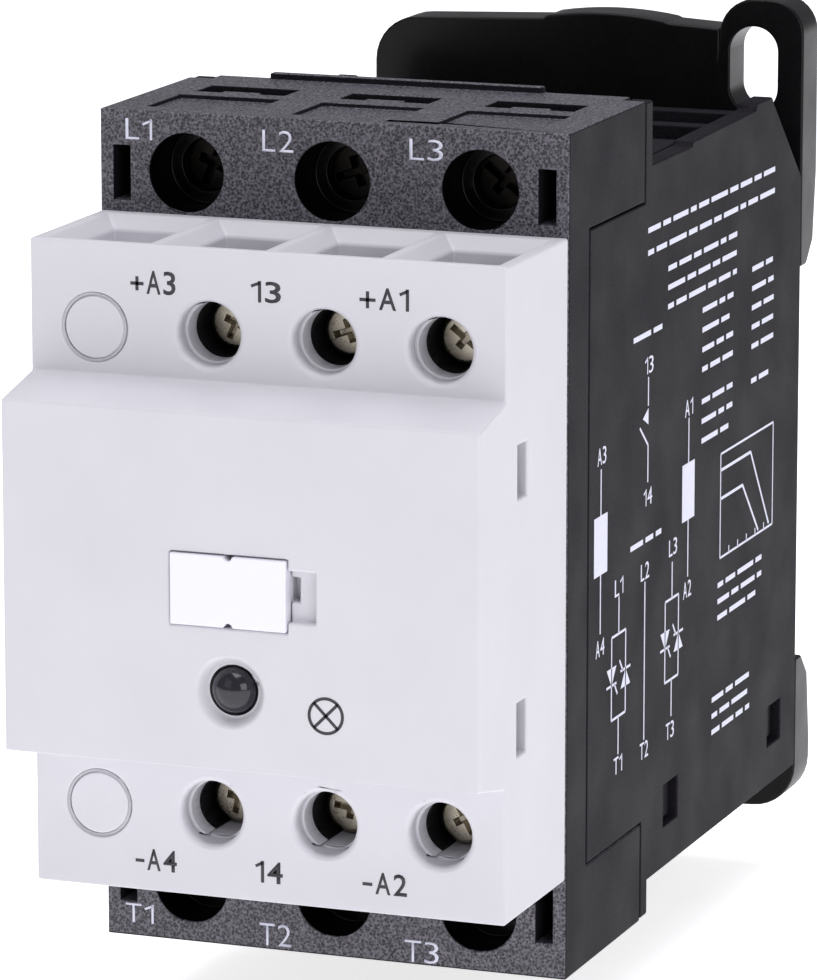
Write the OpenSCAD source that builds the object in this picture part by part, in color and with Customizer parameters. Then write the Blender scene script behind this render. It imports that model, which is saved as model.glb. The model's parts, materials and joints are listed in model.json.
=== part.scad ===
// Three-pole solid state relay for a 35 mm rail.
// X is the width, the front faces -Y, +Z is up. The origin lies on the rail seat,
// at the rail's centre line. Sizes are in millimetres.

/* [Case] */
// Width of the case
body_w = 45; // [44:0.5:48]
// Height of the terminal housing
housing_h = 77.4; // [76:0.2:79]
// Height of the white front cover
cover_h = 58.8; // [58:0.2:60]
// Height of the case's middle above the rail's centre line
mid_z = 4.8; // [4.4:0.1:5.2]
// Wall thickness of the black mouldings
wall = 2; // [1.8:0.1:2.2]
// Wall thickness of the cover
cover_wall = 1.6; // [1.4:0.1:1.8]

/* [Depths from the rail seat] */
// Depth of the cover's front plane
front_d = 93; // [92.5:0.1:94]
// Depth of the plane with the control terminals
control_d = 86.2; // [86:0.1:86.4]
// Depth of the terminal housing's front
housing_d = 70.1; // [70:0.1:70.2]
// Depth of the seam between housing and base on the side
seam_d = 64.4; // [63:0.2:66]
// Depth of the terminal housing's back
housing_back_d = 46.8; // [46:0.2:47.4]

/* [Rail plate] */
// Thickness of the plate behind the seat
plate_t = 5; // [4.8:0.1:5.4]
// Height of the rail that the case clips on
rail_h = 35; // [34.8:0.1:35.2]
// Width of the slots in the ears
ear_slot_w = 4.9; // [4.5:0.1:5.2]
// Length of the slots in the ears
ear_slot_l = 8.5; // [8:0.1:9]
// Travel of the rail latch
latch_travel = 4; // [3:0.5:4]

/* [Terminals] */
// Pitch of the power poles
pole_pitch = 14.1; // [13.8:0.1:14.3]
// Diameter of the power screw access holes
power_hole_d = 7.2; // [7:0.1:7.4]
// Pitch of the control terminals
control_pitch = 10.85; // [10.7:0.05:11]
// Diameter of the control screw access holes
control_hole_d = 5.8; // [5.7:0.1:5.9]
// Distance of the control screws from the case's middle
control_rise = 21.7; // [21.5:0.1:21.9]
// Distance of the power screws from the case's middle
power_rise = 33.2; // [33:0.1:33.4]

/* [Hidden] */
$fn = 48;
SIDES = [1, -1];

half_w = body_w / 2;
cover_half_w = half_w - 0.1;
housing_top = mid_z + housing_h / 2;
housing_bottom = mid_z - housing_h / 2;
cover_top = mid_z + cover_h / 2;
cover_bottom = mid_z - cover_h / 2;
front_top = mid_z + 16.1;
front_bottom = mid_z - 15.7;
step_slope = 1.4;
base_top = mid_z + 33;
base_bottom = mid_z - 35.3;
inner_x = half_w - wall - 0.2;
gap = 0.2;
strip_d = housing_back_d + 2;

// Power terminal, from the screw head backwards
power_head_d = 63.6;
power_head_t = 1.7;
power_head_r = 3.3;
power_shank_r = 1.95;
power_bar_d = 58.8;
power_bar_t = 1.5;
power_wire_gap = 3.9;
power_cage_t = 1.3;
collar_t = 1.2;
collar_hole_r = 2.4;
power_chamber_half = 5.6;

// Control terminal, from the screw head backwards
control_head_d = 79.8;
control_head_t = 1.4;
control_head_r = 2.4;
control_shank_r = 1.25;
control_bar_d = 75.9;
control_bar_t = 0.8;
control_wire_gap = 2.3;
control_cage_t = 0.8;
pocket_depth = 4.2;
pocket_floor = 1;

board_back_d = 70.3;
board_t = 1.6;
sink_front_d = 30;
module_front_d = 36.3;
led_x = -0.8;
led_z = mid_z - 8.65;
label_x = -0.9;
label_z = mid_z + 0.35;
label_w = 10.9;
label_h = 6.4;
plate_mid = mid_z - 0.75;
plate_top = plate_mid + 39.7;
ear_top = plate_mid + 42.55;
ear_w = 8.7;
seat_upper = rail_h / 2 + 0.1;
latch_half_w = 9;

black = [0.15, 0.145, 0.16];
deep_black = [0.09, 0.09, 0.1];
white = [0.86, 0.86, 0.9];
copper = [0.72, 0.45, 0.3];
tin = [0.75, 0.74, 0.7];
steel = [0.6, 0.6, 0.62];

function pole_x(n) = (n - 2) * pole_pitch;
function control_x(n) = (n - 1.5) * control_pitch;
function arc(cx, cy, r, from, to, n = 8) =
    [for (i = [0:n]) let (a = from + (to - from) * i / n) [cx + r * cos(a), cy + r * sin(a)]];
// Arch through two points at one height, with a given rise between them
function arch(x0, x1, y, rise, n = 10) =
    [for (i = [0:n]) let (t = i / n) [x0 + (x1 - x0) * t, y + rise * 4 * t * (1 - t)]];

module block(low, high) {
    translate(low) cube(high - low);
}

// Cylinder along +Y, from depth `from` back to depth `to`
module rod(x, z, from, to, r) {
    translate([x, -from, z]) rotate([-90, 0, 0]) cylinder(r = r, h = from - to);
}

// A side profile in Y and Z, extruded symmetrically along X
module across(half) {
    translate([-half, 0, 0]) rotate([90, 0, 90]) linear_extrude(2 * half) children();
}

// Flips a shape from the top of the case to its bottom
module at_end(side, about = mid_z) {
    translate([0, 0, about]) mirror([0, 0, side > 0 ? 0 : 1]) translate([0, 0, -about]) children();
}

// One side of the base: it wraps the housing's rear edge and has a rounded lug by its sloped corner
module side_wall() {
    seam = 0.15;
    translate([half_w - wall, 0, 0]) rotate([90, 0, 90]) linear_extrude(wall) polygon(concat([
        [-seam_d, cover_bottom + seam], [-seam_d, cover_top - seam],
        [-strip_d, cover_top - seam], [-strip_d, housing_top - seam],
        [-housing_back_d, housing_top - seam], [-housing_back_d, base_top - 0.4],
        [-35, base_top - 0.4], [-35, base_top]],
        arc(-14.6, base_top + 0.1, 0.7, 170, 90, 4), arc(-10.3, base_top, 0.8, 90, 10, 4), [
        [-9.3, base_top], [0, base_top - 8.5], [0, base_bottom],
        [-housing_back_d, base_bottom], [-housing_back_d, housing_bottom + seam],
        [-strip_d, housing_bottom + seam], [-strip_d, cover_bottom + seam]]));
}

module base_shell() {
    bars = [[-housing_back_d + gap, -sink_front_d - 0.6], [-22, -20], [-13, -11]];
    color(black) difference() {
        union() {
            for (side = SIDES) mirror([side > 0 ? 0 : 1, 0, 0]) side_wall();
            for (bar = bars, z = [base_top - 2.6, base_bottom])
                block([-half_w + 1, bar[0], z], [half_w - 1, bar[1], z + wall]);
        }
        for (y = [-42.1, -9.3])
            block([-half_w - 1, y, base_bottom + 4], [half_w + 1, y + 4.2, base_bottom + 8]);
    }
}

module ear_slot() {
    x = half_w - 2.7 - ear_slot_w / 2;
    top = ear_top - 2.7 - ear_slot_w / 2;
    translate([x, plate_t + 1, top]) rotate([90, 0, 0]) cylinder(d = ear_slot_w, h = plate_t + 2);
    block([x - ear_slot_w / 2, -1, top - ear_slot_l + ear_slot_w], [x + ear_slot_w / 2, plate_t + 1, top]);
    translate([x, plate_t + 1, top - ear_slot_l + ear_slot_w]) rotate([90, 0, 0])
        cylinder(d = ear_slot_w, h = plate_t + 2);
}

// Upper half of the rail plate: a rounded corner, an arched top edge and one slotted ear
module plate_half(lower_edge) {
    ear_left = half_w - ear_w;
    difference() {
        translate([0, plate_t, 0]) rotate([90, 0, 0]) linear_extrude(plate_t) polygon(concat(
            [[half_w, lower_edge]],
            arc(half_w - 3.4, ear_top - 3.4, 3.4, 0, 90),
            arc(ear_left + 3.6, ear_top - 3.6, 3.6, 90, 180),
            [[ear_left, plate_top - 0.2]],
            [[8.5, plate_top + 0.1]],
            arch(8, -4.2, plate_top + 0.3, 0.5),
            [[-4.7, plate_top]],
            arc(-half_w + 4.5, plate_top - 5, 4.5, 90, 180),
            [[-half_w, lower_edge]]));
        ear_slot();
        across(half_w + 1) polygon([
            [2, lower_edge - 1], [plate_t + 1, lower_edge - 1], [plate_t + 1, lower_edge + 9],
            [plate_t, lower_edge + 9], [plate_t - 0.9, lower_edge + 2.2], [2, lower_edge - 0.01]]);
    }
}

module latch_pocket() {
    block([-latch_half_w - gap, 1.2, -60], [latch_half_w + gap, 3, -15]);
    block([-latch_half_w + 1.3, 2.9, -60], [latch_half_w - 1.3, plate_t + 1, -15]);
    block([-latch_half_w + 1.3, -0.01, -20.5 - latch_travel], [latch_half_w - 1.3, 2, -15]);
}

module rear_plate() {
    lower_edge_z = -19.6;
    seat_half = 15.3;
    color(deep_black) {
        difference() {
            block([-inner_x, -3, base_bottom + 3], [inner_x, 0, base_top - 4.2]);
            for (edges = [[seat_half, seat_upper - gap], [lower_edge_z, -seat_half]])
                block([-inner_x - 1, -0.3, edges[0]], [inner_x + 1, 1, edges[1]]);
        }
        plate_half(20.2);
        difference() {
            translate([0, 0, plate_mid]) rotate([0, 180, 0]) translate([0, 0, -plate_mid])
                plate_half(2 * plate_mid - lower_edge_z);
            latch_pocket();
        }
        for (side = SIDES) mirror([side > 0 ? 0 : 1, 0, 0]) {
            block([6, 0, seat_upper], [18, 1.4, 20.4]);
            block([6, 1.3, seat_upper - 1.7], [18, 4.4, 21]);
            block([inner_x - 1.5, -11, base_bottom + 4.3], [inner_x, -1, base_bottom + 7.7]);
            block([inner_x - 0.5, -9.1, base_bottom + 4.2], [half_w - 0.8, -5.3, base_bottom + 7.8]);
        }
        block([-2.2, 1, -34.2], [2.2, 4.4, -33.2]);
    }
}

module rail_latch() {
    window_half = 2.7;
    color(black) difference() {
        union() {
            block([-latch_half_w, 1.4, -39.5], [latch_half_w, 2.8, -20.4]);
            block([-latch_half_w + 1.5, 1.4, -39.5], [latch_half_w - 1.5, 4.6, -20.4]);
            block([-latch_half_w + 1.5, 0.2, -20.3], [latch_half_w - 1.5, 1.5, -rail_h / 2 - 0.1]);
            across(latch_half_w - 1.5) polygon([
                [1.4, -20.5], [1.4, -15.8], [2, -15.8], [4.6, -18.8], [4.6, -20.5]]);
            block([-6, 0.6, -42], [6, 4.6, -39.4]);
        }
        block([-window_half, 0, -34.5], [window_half, 5, -24]);
        translate([0, 3.9, -37.4]) rotate([-90, 0, 0]) cylinder(d = 3, h = 2);
    }
}

// Compression spring, swept along a helix
module latch_spring() {
    low = -33.15;
    high = -24.05;
    coil_r = 1.2;
    wire_r = 0.25;
    turns = 7;
    per_turn = 14;
    sides = 6;
    steps = turns * per_turn;
    points = [for (i = [0:steps]) for (j = [0:sides - 1])
        let (a = 360 * i / per_turn, b = 360 * j / sides, r = coil_r + wire_r * cos(b))
        [r * cos(a), 2.9 + r * sin(a), low + wire_r + (high - low - 2 * wire_r) * i / steps + wire_r * sin(b)]];
    walls = [for (i = [0:steps - 1]) for (j = [0:sides - 1]) let (k = (j + 1) % sides)
        [i * sides + j, (i + 1) * sides + j, (i + 1) * sides + k, i * sides + k]];
    caps = [[for (j = [0:sides - 1]) j], [for (j = [sides - 1:-1:0]) steps * sides + j]];
    color(steel) polyhedron(points, concat(walls, caps), convexity = 10);
}

// Solid end of the terminal housing, before its chambers are cut
module housing_end() {
    block([-half_w, -housing_d, cover_top], [half_w, -housing_back_d, housing_top]);
    block([-inner_x, -housing_d, cover_top - 5.6], [inner_x, -housing_back_d - 0.6, cover_top + 0.1]);
    block([-pole_pitch - 0.7, -housing_back_d - 1.1, housing_top - 0.1],
          [pole_pitch - 2, -housing_back_d, housing_top + 0.6]);
}

module pole_cut(n) {
    x = pole_x(n);
    z = mid_z + power_rise;
    rod(x, z, housing_d + 1, power_head_d + gap + collar_t, power_hole_d / 2);
    rod(x, z, housing_d, power_head_d, collar_hole_r);
    rod(x, z, power_head_d + gap, power_head_d - power_head_t - gap, power_hole_d / 2);
    block([x - power_chamber_half, -power_head_d + power_head_t + 0.1, cover_top - 3.6],
          [x + power_chamber_half, -50.4, housing_top - 2]);
    difference() {
        block([x - 4.35, -power_bar_d + power_bar_t + 0.1, housing_top - 3], [x + 4.35, -53.4, housing_top + 1]);
        block([x - 1.9, -power_bar_d, housing_top - 4], [x + 1.9, -power_bar_d + power_bar_t + 1, housing_top + 2]);
    }
    block([x - 3.9, -power_bar_d - gap, cover_top - 6], [x + 3.9, -power_bar_d + power_bar_t + gap, cover_top]);
    block([x - 4.9, -67.6, housing_top - 0.4], [x + 4.9, -59.7, housing_top + 1]);
}

module terminal_housing() {
    end_slot_x = half_w - 2.1;
    clip_z = [mid_z + 10.75, mid_z - 12.35];
    color(black) {
        difference() {
            union() {
                for (side = SIDES) at_end(side) housing_end();
                block([-half_w, -housing_d, cover_bottom - 0.1], [half_w, -housing_d + wall, cover_top + 0.1]);
                for (side = SIDES) mirror([side > 0 ? 0 : 1, 0, 0])
                    block([half_w - wall, -housing_d, cover_bottom - 0.1],
                          [half_w, -seam_d - gap, cover_top + 0.1]);
            }
            for (side = SIDES) at_end(side) {
                for (n = [1:3]) pole_cut(n);
                for (x = [-end_slot_x, end_slot_x])
                    block([x - 0.8, -housing_d - 1, mid_z + 30.4], [x + 0.8, -housing_d + 5, mid_z + 35.4]);
                block([4.7, -68.6, housing_top - 2.5], [9.5, -67.8, housing_top + 1]);
                for (x = [-half_w - 1, inner_x])
                    block([x, -strip_d - gap, cover_top - 1], [x + wall + gap + 1, -housing_back_d + 1, housing_top + 1]);
            }
            block([-12, -housing_d - 1, 2], [12, -housing_d + wall + 1, 8]);
        }
        for (side = SIDES) mirror([side > 0 ? 0 : 1, 0, 0]) {
            for (z = clip_z) {
                block([half_w - 2.8, -83.4, z - 1.9], [half_w - 1.9, -housing_d + 0.5, z + 1.9]);
                block([half_w - 2.8, -83, z - 1.9], [half_w - 0.9, -81, z + 1.9]);
            }
            block([inner_x - 1.6, -housing_back_d - 1, base_bottom + 4.4], [inner_x, -37.5, base_bottom + 7.6]);
            block([inner_x - 0.5, -41.9, base_bottom + 4.2], [half_w - 0.8, -38.1, base_bottom + 7.8]);
        }
    }
}

module cover_outline(inset = 0) {
    back = inset > 0 ? 1 : 0;
    polygon([
        [-housing_d + back, cover_bottom + inset], [-control_d + inset, cover_bottom + inset],
        [-control_d + inset, front_bottom - step_slope + inset], [-front_d + inset, front_bottom + inset],
        [-front_d + inset, front_top - inset], [-control_d + inset, front_top + step_slope - inset],
        [-control_d + inset, cover_top - inset], [-housing_d + back, cover_top - inset]]);
}

// Floor and walls of the wire funnels along one end of the cover
module control_end_solid() {
    block([-cover_half_w + 1, -control_d + 1, cover_top - pocket_depth - pocket_floor],
          [cover_half_w - 1, -housing_d - 0.9, cover_top - 0.1]);
}

// Funnel with flared sides and a flared rear edge
module wire_funnel(x, floor_z) {
    flare = 1.3;
    half = control_pitch / 2 - 0.35;
    low = half - flare;
    front_y = -control_d + 0.9;
    back_y = -housing_d - 1.3;
    intersection() {
        translate([x, -housing_d, 0]) rotate([90, 0, 0]) linear_extrude(control_d - housing_d) polygon([
            [-half - 0.35, cover_top + 0.4], [half + 0.35, cover_top + 0.4], [low, cover_top - flare],
            [low, floor_z], [-low, floor_z], [-low, cover_top - flare]]);
        across(half_w) polygon([
            [front_y - 0.1, cover_top + 0.4], [back_y + 0.4, cover_top + 0.4], [back_y - flare, cover_top - flare],
            [back_y - flare, floor_z], [front_y + 0.6, floor_z], [front_y + 0.6, cover_top - flare]]);
    }
}

module control_end_cut() {
    z = mid_z + control_rise;
    floor_z = cover_top - pocket_depth;
    wire_d = control_bar_d - control_bar_t;
    for (n = [0:3]) wire_funnel(control_x(n), floor_z);
    for (n = [1:3]) {
        block([control_x(n) - 2.3, -wire_d, floor_z - 3], [control_x(n) + 2.3, -wire_d + control_wire_gap, floor_z + 1]);
        rod(control_x(n), z, control_d + 1, control_d - cover_wall - 1, control_hole_d / 2);
        translate([control_x(n), -control_d - 0.01, z]) rotate([-90, 0, 0])
            cylinder(r1 = control_hole_d / 2 + 0.35, r2 = control_hole_d / 2 - 0.1, h = 0.45);
    }
    translate([control_x(0), -control_d - 0.1, z]) rotate([-90, 0, 0]) difference() {
        cylinder(r = 3.1, h = 0.35);
        translate([0, 0, -1]) cylinder(r = 2.85, h = 3);
    }
}

module front_cover() {
    clip_z = [mid_z + 10.75, mid_z - 12.35];
    color(white) difference() {
        union() {
            difference() {
                across(cover_half_w) cover_outline();
                across(cover_half_w - cover_wall) cover_outline(cover_wall);
            }
            for (side = SIDES) at_end(side) control_end_solid();
            block([label_x - label_w / 2 - 1.5, -front_d + 1, label_z - label_h / 2 - 1.5],
                  [label_x + label_w / 2 + 4, -front_d + 3.6, label_z + label_h / 2 + 1.5]);
            rod(led_x, led_z, front_d - 1, front_d - 4, 3.6);
        }
        for (side = SIDES) at_end(side) control_end_cut();
        block([label_x - label_w / 2 - 0.1, -front_d - 1, label_z - label_h / 2 - 0.1],
              [label_x + label_w / 2 + 0.1, -front_d + 1.4, label_z + label_h / 2 + 0.1]);
        block([label_x + label_w / 2, -front_d - 1, label_z - 2.3], [label_x + label_w / 2 + 2.7, -front_d + 0.9, label_z + 2.3]);
        block([label_x + label_w / 2, -front_d - 1, label_z - 0.6], [label_x + label_w / 2 + 0.9, -front_d + 2.6, label_z + 1.6]);
        translate([led_x, -front_d - 0.01, led_z]) rotate([-90, 0, 0]) cylinder(r1 = 3.2, r2 = 2.45, h = 1);
        rod(led_x, led_z, front_d + 1, front_d - 6, 2.4);
        for (z = clip_z)
            block([-half_w - 1, -83.2, z - 2.4], [half_w + 1, -80.7, z + 2.4]);
    }
}

module led_lens() {
    dome_r = 2.3;
    color([0.25, 0.24, 0.27]) {
        translate([led_x, -front_d + 1.9, led_z]) rotate([90, 0, 0]) intersection() {
            sphere(r = dome_r);
            translate([-dome_r, -dome_r, 0]) cube([2 * dome_r, 2 * dome_r, dome_r]);
        }
        rod(led_x, led_z, front_d - 1.9, front_d - 4, dome_r);
        rod(led_x, led_z, front_d - 4, board_back_d + board_t + 1.3, 1.4);
    }
}

module status_led() {
    front = board_back_d + board_t;
    color([0.9, 0.9, 0.8]) block([led_x - 1.2, -front - 1, led_z - 0.8], [led_x + 1.2, -front, led_z + 0.8]);
}

module control_board() {
    edge_x = cover_half_w - cover_wall - 1.2;
    color([0.1, 0.35, 0.2]) difference() {
        block([-edge_x, -board_back_d - board_t, cover_bottom + 6], [edge_x, -board_back_d, cover_top - 6]);
        for (x = [-10, -7.5, 7.5, 10]) rod(x, 5, board_back_d + board_t + 1, board_back_d - 1, 0.7);
    }
}

module optocouplers() {
    front = board_back_d + board_t;
    color(deep_black) for (x = [-15, -8.4, 6.5])
        block([x - 2.4, -front - 3.4, 9], [x + 2.4, -front, 17.6]);
}

module alarm_relay() {
    front = board_back_d + board_t;
    color([0.85, 0.83, 0.75]) block([10.5, -front - 8, 9.5], [18.5, -front, 17.5]);
}

module board_capacitors() {
    front = board_back_d + board_t;
    color([0.2, 0.22, 0.4]) for (x = [-15, 9, 15.4]) rod(x, -2.6, front + 7, front, 2.5);
}

module gate_leads() {
    color(copper) for (x = [-10, -7.5, 7.5, 10]) rod(x, 5, board_back_d + board_t + 1.2, module_front_d, 0.45);
}

// Black blocks behind the cover, with a bore for each control screw and a chamber for its cage
module control_terminal_blocks() {
    front = control_d - cover_wall - 0.1;
    board_front = board_back_d + board_t;
    chamber_half = 3.85;
    color(black) for (side = SIDES) at_end(side) difference() {
        z = mid_z + control_rise;
        block([control_x(1) - 5.3, -front, z - 6.4], [cover_half_w - cover_wall - gap, -board_front, z + 2.45]);
        for (n = [1:3]) {
            rod(control_x(n), z, front + 1, control_head_d - control_head_t - gap, control_head_r + 0.25);
            block([control_x(n) - chamber_half, -control_head_d + control_head_t + 0.1, z - 7],
                  [control_x(n) + chamber_half, -board_front + 1, z + 3]);
        }
    }
}

module control_contacts() {
    board_front = board_back_d + board_t;
    color(tin) for (side = SIDES) at_end(side) for (n = [1:3]) {
        x = control_x(n);
        z = mid_z + control_rise;
        block([x - 2.3, -control_bar_d, z - 6.2], [x + 2.3, -control_bar_d + control_bar_t, z + 2.1]);
        block([x - 2.3, -control_bar_d, z - 6.2], [x + 2.3, -board_front, z - 5.4]);
    }
}

module outer_pole_busbars() {
    bar_z = cover_top - 10;
    color(copper) for (side = SIDES) at_end(side) for (n = [1, 3]) {
        x = pole_x(n);
        block([x - 3.6, -power_bar_d, bar_z], [x + 3.6, -power_bar_d + power_bar_t, housing_top - 2.4]);
        block([x - 3.6, -power_bar_d, bar_z], [x + 3.6, -module_front_d - 0.1, bar_z + power_bar_t]);
        block([x - 3.6, -module_front_d - power_bar_t, bar_z - 8], [x + 3.6, -module_front_d, bar_z + power_bar_t]);
    }
}

module middle_pole_busbar() {
    color(copper) block([-3.6, -power_bar_d, housing_bottom + 2.4],
                        [3.6, -power_bar_d + power_bar_t, housing_top - 2.4]);
}

module module_case() {
    color(deep_black) difference() {
        block([-19, -module_front_d, mid_z - 28], [19, -sink_front_d - 0.9, mid_z + 28]);
        for (z = [mid_z - 24.5, mid_z + 24.5]) {
            rod(0, z, module_front_d + 1, sink_front_d, 1.7);
            rod(0, z, module_front_d + 1, sink_front_d + 3, 3.4);
        }
    }
}

module module_baseplate() {
    color(copper) difference() {
        block([-19, -sink_front_d - 0.9, mid_z - 28], [19, -sink_front_d - 0.3, mid_z + 28]);
        for (z = [mid_z - 24.5, mid_z + 24.5]) rod(0, z, sink_front_d + 2, sink_front_d, 1.7);
    }
}

module thermal_pad() {
    color([0.6, 0.6, 0.58]) difference() {
        block([-18.5, -sink_front_d - 0.3, mid_z - 27.5], [18.5, -sink_front_d, mid_z + 27.5]);
        for (z = [mid_z - 24.5, mid_z + 24.5]) rod(0, z, sink_front_d + 2, sink_front_d - 1, 1.7);
    }
}

module heat_sink() {
    fin_count = 10;
    fin_t = 1.5;
    fin_pitch = (2 * inner_x - 1 - fin_t) / (fin_count - 1);
    color([0.35, 0.35, 0.37]) difference() {
        translate([0, 0, base_bottom + 2.4]) linear_extrude(base_top - base_bottom - 6) union() {
            translate([-inner_x + 0.5, -sink_front_d]) square([2 * inner_x - 1, 5]);
            for (i = [0:fin_count - 1])
                translate([-inner_x + 0.5 + i * fin_pitch, -sink_front_d + 4]) square([fin_t, 22]);
        }
        for (z = [mid_z - 24.5, mid_z + 24.5]) rod(0, z, sink_front_d + 1, sink_front_d - 4.6, 1.5);
        for (side = SIDES) mirror([side > 0 ? 0 : 1, 0, 0])
            block([inner_x - 2, -12, base_bottom + 2], [inner_x + 1, -2, base_bottom + 9]);
    }
}

module module_screws() {
    color(steel) for (z = [mid_z - 24.5, mid_z + 24.5]) difference() {
        union() {
            rod(0, z, module_front_d - 1, sink_front_d + 3, 2.8);
            rod(0, z, sink_front_d + 3.1, sink_front_d - 4, 1.42);
        }
        block([-3, -module_front_d, z - 0.4], [3, -module_front_d + 2, z + 0.4]);
    }
}

module label_insert() {
    color([0.93, 0.93, 0.97]) difference() {
        block([label_x - label_w / 2, -front_d - 0.25, label_z - label_h / 2],
              [label_x + label_w / 2, -front_d + 1.2, label_z + label_h / 2]);
        for (side = SIDES) translate([label_x, -front_d - 1, label_z + side * label_h / 2]) rotate([-90, 0, 0])
            cylinder(r = 0.4, h = 3);
    }
}

// Slotted and crossed terminal screw, its head towards the front
module terminal_screw(x, z, head_d, head_t, head_r, shank_r, tip_d) {
    color(tin) difference() {
        union() {
            rod(x, z, head_d, head_d - head_t, head_r);
            rod(x, z, head_d - head_t + 0.1, tip_d, shank_r);
        }
        block([x - head_r - 1, -head_d - 1, z - 0.45], [x + head_r + 1, -head_d + head_t * 0.55, z + 0.45]);
        block([x - 0.45, -head_d - 1, z - head_r * 0.62], [x + 0.45, -head_d + head_t * 0.75, z + head_r * 0.62]);
    }
}

// Wire cage around a busbar: the screw draws it forward
module wire_cage(x, half, z0, z1, thread_z, front_d, thick, back_d, bore_r) {
    color(tin) difference() {
        block([x - half, -front_d, z0], [x + half, -back_d, z1]);
        block([x - half + 0.9, -front_d + thick, z0 - 1], [x + half - 0.9, -back_d - thick, z1 + 1]);
        rod(x, thread_z, front_d + 1, front_d - thick - 1, bore_r);
    }
}

module power_screw(n, side) {
    at_end(side) terminal_screw(pole_x(n), mid_z + power_rise, power_head_d, power_head_t,
        power_head_r, power_shank_r, power_bar_d + 0.05);
}

module power_cage(n, side) {
    wire_back = power_bar_d - power_bar_t - power_wire_gap;
    at_end(side) wire_cage(pole_x(n), 5, mid_z + power_rise - 3.4, mid_z + power_rise + 2.9,
        mid_z + power_rise, power_bar_d + gap + power_cage_t, power_cage_t, wire_back - power_cage_t,
        power_shank_r + 0.05);
}

module control_screw(n, side) {
    at_end(side) terminal_screw(control_x(n), mid_z + control_rise, control_head_d, control_head_t,
        control_head_r, control_shank_r, control_bar_d + 0.05);
}

module control_cage(n, side) {
    wire_back = control_bar_d - control_bar_t - control_wire_gap;
    at_end(side) wire_cage(control_x(n), 3.6, mid_z + control_rise - 3.2, mid_z + control_rise + 2.2,
        mid_z + control_rise, control_bar_d + 0.1 + control_cage_t, control_cage_t,
        wire_back - control_cage_t + 0.2, control_shank_r + 0.05);
}

base_shell();
rear_plate();
terminal_housing();
front_cover();
led_lens();
status_led();
control_board();
optocouplers();
alarm_relay();
board_capacitors();
gate_leads();
control_terminal_blocks();
control_contacts();
outer_pole_busbars();
middle_pole_busbar();
module_case();
module_baseplate();
thermal_pad();
heat_sink();
module_screws();
rail_latch();
latch_spring();
label_insert();
for (n = [1:3]) {
    power_screw(n, 1);
    power_screw(n, -1);
    power_cage(n, 1);
    power_cage(n, -1);
    control_screw(n, 1);
    control_screw(n, -1);
    control_cage(n, 1);
    control_cage(n, -1);
}
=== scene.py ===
import json
import math

import bmesh
import bpy
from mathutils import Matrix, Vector


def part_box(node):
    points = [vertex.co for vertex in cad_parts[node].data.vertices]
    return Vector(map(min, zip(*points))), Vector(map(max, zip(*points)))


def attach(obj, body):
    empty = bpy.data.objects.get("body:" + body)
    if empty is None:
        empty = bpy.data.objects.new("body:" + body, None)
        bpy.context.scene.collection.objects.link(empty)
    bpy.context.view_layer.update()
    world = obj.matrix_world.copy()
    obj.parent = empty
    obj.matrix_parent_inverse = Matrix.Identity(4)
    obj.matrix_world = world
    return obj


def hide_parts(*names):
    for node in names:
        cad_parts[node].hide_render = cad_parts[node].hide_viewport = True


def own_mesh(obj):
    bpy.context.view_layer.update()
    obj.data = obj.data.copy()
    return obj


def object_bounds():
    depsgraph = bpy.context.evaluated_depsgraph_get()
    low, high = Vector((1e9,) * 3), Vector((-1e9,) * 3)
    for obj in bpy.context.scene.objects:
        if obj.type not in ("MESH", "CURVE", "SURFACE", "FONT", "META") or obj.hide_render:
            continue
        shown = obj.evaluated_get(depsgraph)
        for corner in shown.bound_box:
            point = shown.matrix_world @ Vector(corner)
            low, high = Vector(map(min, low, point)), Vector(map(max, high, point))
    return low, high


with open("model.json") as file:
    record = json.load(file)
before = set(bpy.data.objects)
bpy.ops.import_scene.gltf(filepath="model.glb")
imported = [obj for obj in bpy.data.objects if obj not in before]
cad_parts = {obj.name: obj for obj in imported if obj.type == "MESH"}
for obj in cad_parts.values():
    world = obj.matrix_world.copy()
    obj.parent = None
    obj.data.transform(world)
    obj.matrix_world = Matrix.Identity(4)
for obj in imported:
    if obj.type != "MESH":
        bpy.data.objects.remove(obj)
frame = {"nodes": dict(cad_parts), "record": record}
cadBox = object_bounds()
mm = 0.001
print("frame loaded:", len(frame["nodes"]), "CAD nodes")


def linearColour(hexText):
    channels = [int(hexText[i:i + 2], 16) / 255 for i in (1, 3, 5)]
    curve = [c / 12.92 if c <= 0.04045 else ((c + 0.055) / 1.055) ** 2.4 for c in channels]
    return (*curve, 1)


def addNode(tree, kind, settings=None, inputs=None):
    # an input is either a plain value or another node's output socket
    node = tree.nodes.new(kind)
    for name, value in (settings or {}).items():
        setattr(node, name, value)
    for name, value in (inputs or {}).items():
        if isinstance(value, bpy.types.NodeSocket):
            tree.links.new(value, node.inputs[name])
        else:
            node.inputs[name].default_value = value
    return node


def startMaterial(name, finish):
    material = bpy.data.materials.new(name)
    material.use_nodes = True
    tree = material.node_tree
    shader = tree.nodes["Principled BSDF"]
    for name, value in finish.items():
        shader.inputs[name].default_value = value
    place = addNode(tree, "ShaderNodeTexCoord").outputs["Object"]
    return material, tree, shader, place


def finishShader(tree, shader, tone, sheen, relief):
    tree.links.new(tone.outputs[2], shader.inputs["Base Color"])
    tree.links.new(sheen.outputs["Result"], shader.inputs["Roughness"])
    tree.links.new(relief.outputs["Normal"], shader.inputs["Normal"])


def workOn(piece):
    bpy.ops.object.select_all(action='DESELECT')
    piece.select_set(True)
    bpy.context.view_layer.objects.active = piece


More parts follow.
